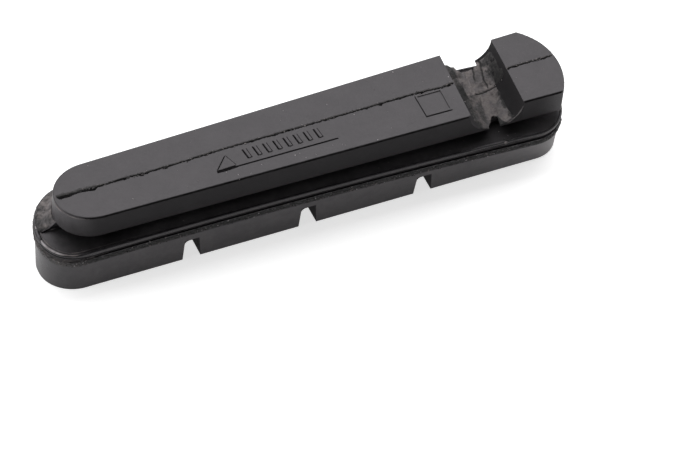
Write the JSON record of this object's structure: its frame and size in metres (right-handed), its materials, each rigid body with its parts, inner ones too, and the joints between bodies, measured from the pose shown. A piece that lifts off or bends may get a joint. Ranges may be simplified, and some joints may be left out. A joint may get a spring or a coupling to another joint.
{
  "type": "bicycle rim brake pad",
  "caption": "Moulded rubber insert for a bicycle rim brake: a grooved friction block with an undercut key on its back that slides into a holder, and a notch for the holder's screw.",
  "frame": {"origin": "middle of the pad's footprint, on the friction face", "axes": "+X along the pad from the round nose to the screw notch, +Y from the straight long side to the bowed one, +Z from the friction face up to the key"},
  "size_m": [0.0556, 0.011, 0.0108],
  "materials": {
    "rubber": "matte"
  },
  "bodies": {
    "root": {"brake_pad": "rubber"}
  },
  "joints": []
}
